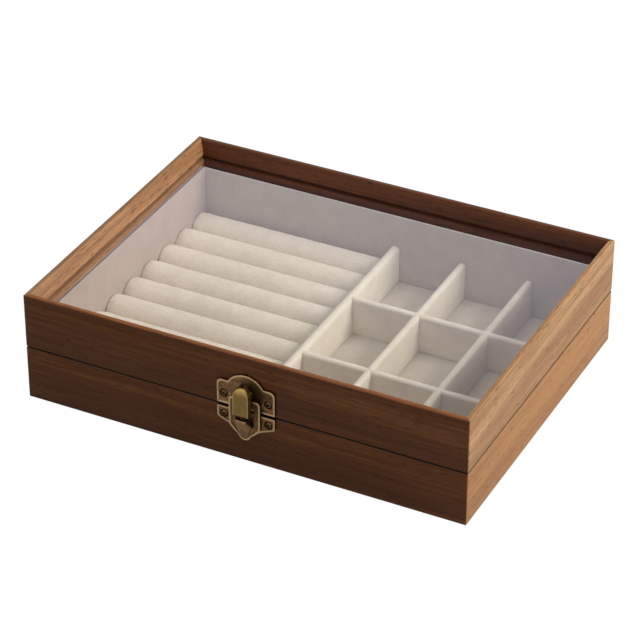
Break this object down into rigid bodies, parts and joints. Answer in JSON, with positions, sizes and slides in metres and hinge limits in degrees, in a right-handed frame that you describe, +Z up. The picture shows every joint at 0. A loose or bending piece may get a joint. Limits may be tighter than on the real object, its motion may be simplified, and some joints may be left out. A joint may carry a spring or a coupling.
{
  "type": "ring display box",
  "caption": "Hinged wooden ring display box with a glazed lid, a row of padded ring rolls, small lined compartments and a bronze lever latch on the front.",
  "frame": {"origin": "middle of the flat underside", "axes": "+X along the width to the right seen from the front, -Y out of the front face with the latch, +Z up through the lid"},
  "size_m": [0.24, 0.1902, 0.06],
  "materials": {
    "walnut_wood": "satin lacquered walnut stain",
    "velvet": "short pile cream velvet",
    "clear_glass": "clear float glass",
    "antique_bronze": "antiqued cast zinc, bronze plated",
    "rubbed_bronze": "bronze plate rubbed bright by fingers",
    "bottom_board": "dark stained board"
  },
  "bodies": {
    "base": {"base_front_wall": "walnut_wood", "base_back_wall": "walnut_wood", "base_left_wall": "walnut_wood", "base_right_wall": "walnut_wood", "base_bottom": "bottom_board", "floor_pad": "velvet", "base_front_liner": "velvet", "base_back_liner": "velvet", "base_left_liner": "velvet", "base_right_liner": "velvet", "ring_bed": "velvet", "ring_roll_1": "velvet", "ring_roll_2": "velvet", "ring_roll_3": "velvet", "ring_roll_4": "velvet", "ring_roll_5": "velvet", "ring_roll_6": "velvet", "ring_roll_7": "velvet", "ring_roll_8": "velvet", "ring_roll_9": "velvet", "main_divider": "velvet", "long_divider_1": "velvet", "long_divider_2": "velvet", "cross_divider_1": "velvet", "cross_divider_2": "velvet", "latch_lower_plate": "antique_bronze", "latch_lower_screws": "antique_bronze", "left_hinge_base_leaf": "antique_bronze", "left_hinge_pin": "antique_bronze", "right_hinge_base_leaf": "antique_bronze", "right_hinge_pin": "antique_bronze", "hinge_base_screws": "antique_bronze"},
    "lid": {"lid_front_rail": "walnut_wood", "lid_back_rail": "walnut_wood", "lid_left_rail": "walnut_wood", "lid_right_rail": "walnut_wood", "glass_pane": "clear_glass", "latch_upper_plate": "antique_bronze", "latch_pin": "antique_bronze", "latch_upper_screws": "antique_bronze", "left_hinge_lid_leaf": "antique_bronze", "right_hinge_lid_leaf": "antique_bronze", "hinge_lid_screws": "antique_bronze"},
    "latch_lever": {"latch_lever": "rubbed_bronze"}
  },
  "joints": [
    {"name": "lid_hinge", "type": "hinge", "parent": "base", "child": "lid", "pos_m": [0, 0.0917, 0.03], "axis": [-1, 0, 0], "range_deg": [0, 105]},
    {"name": "latch_lever_swing", "type": "hinge", "parent": "lid", "child": "latch_lever", "pos_m": [0.004, -0.0935, 0.0433], "axis": [-1, 0, 0], "range_deg": [0, 70]}
  ]
}
